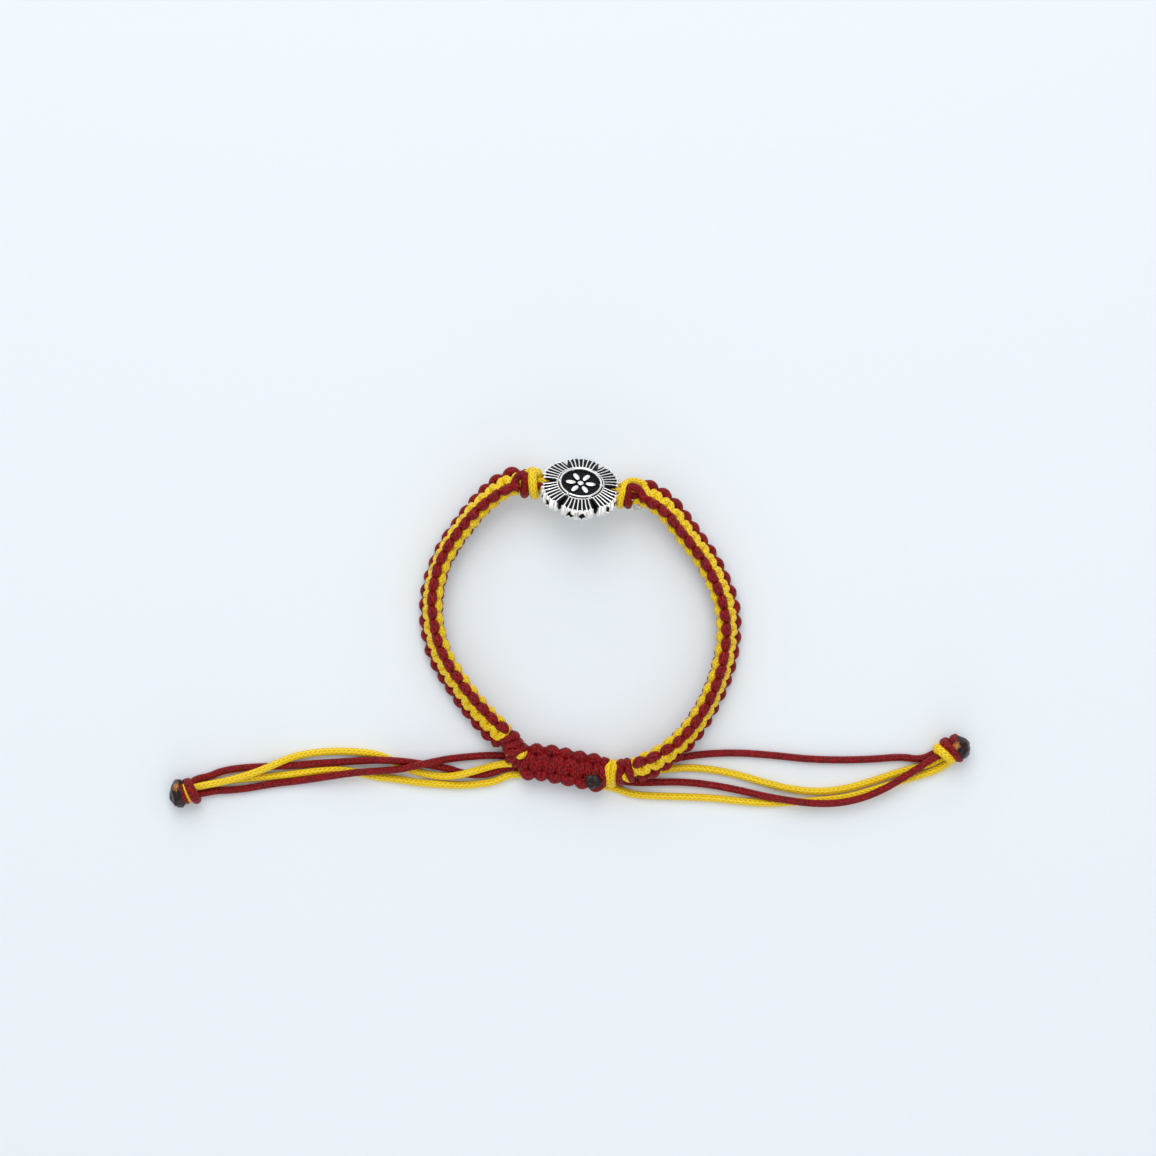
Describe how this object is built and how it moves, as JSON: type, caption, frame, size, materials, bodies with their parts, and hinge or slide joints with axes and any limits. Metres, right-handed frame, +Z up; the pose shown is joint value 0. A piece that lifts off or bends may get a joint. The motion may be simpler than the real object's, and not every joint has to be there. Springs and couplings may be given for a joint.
{
  "type": "rakhi thread bracelet",
  "caption": "Rakhi bracelet of red and yellow nylon cord with a cast flower bead, two square-knotted arms, a sliding knot and two tails of four cords.",
  "frame": {"origin": "on the table, at the middle of the outline of the loop: bead, arms and sliding knot, without the tails", "axes": "+X across the loop towards the right-hand tail, +Y from the sliding knot towards the bead, +Z up from the table"},
  "size_m": [0.1632, 0.0718, 0.0132],
  "materials": {
    "red_cord": "satin",
    "yellow_cord": "satin",
    "antique_silver": "oxidised silver, black in the recesses",
    "melted_cord": "gloss",
    "clear_glue": "gloss"
  },
  "bodies": {
    "root": {"flower_bead": "antique_silver", "bead_thread_outer": "red_cord", "bead_thread_inner": "yellow_cord", "yellow_wrap_left": "yellow_cord", "red_wrap_left": "red_cord", "yellow_wrap_right": "yellow_cord", "red_wrap_right": "red_cord", "glue_drop": "clear_glue", "band_left": "red_cord", "band_right": "red_cord", "band_knot_left": "red_cord", "band_knot_right": "yellow_cord", "sliding_knot": "red_cord", "sliding_knot_tip": "melted_cord", "tail_left_red_upper": "red_cord", "tail_left_red_lower": "red_cord", "tail_left_yellow_upper": "yellow_cord", "tail_left_yellow_lower": "yellow_cord", "tail_right_red_upper": "red_cord", "tail_right_red_lower": "red_cord", "tail_right_yellow_upper": "yellow_cord", "tail_right_yellow_lower": "yellow_cord", "end_knot_left": "red_cord", "end_knot_right": "yellow_cord", "melted_tip_left": "melted_cord", "melted_tip_right": "melted_cord"}
  },
  "joints": []
}
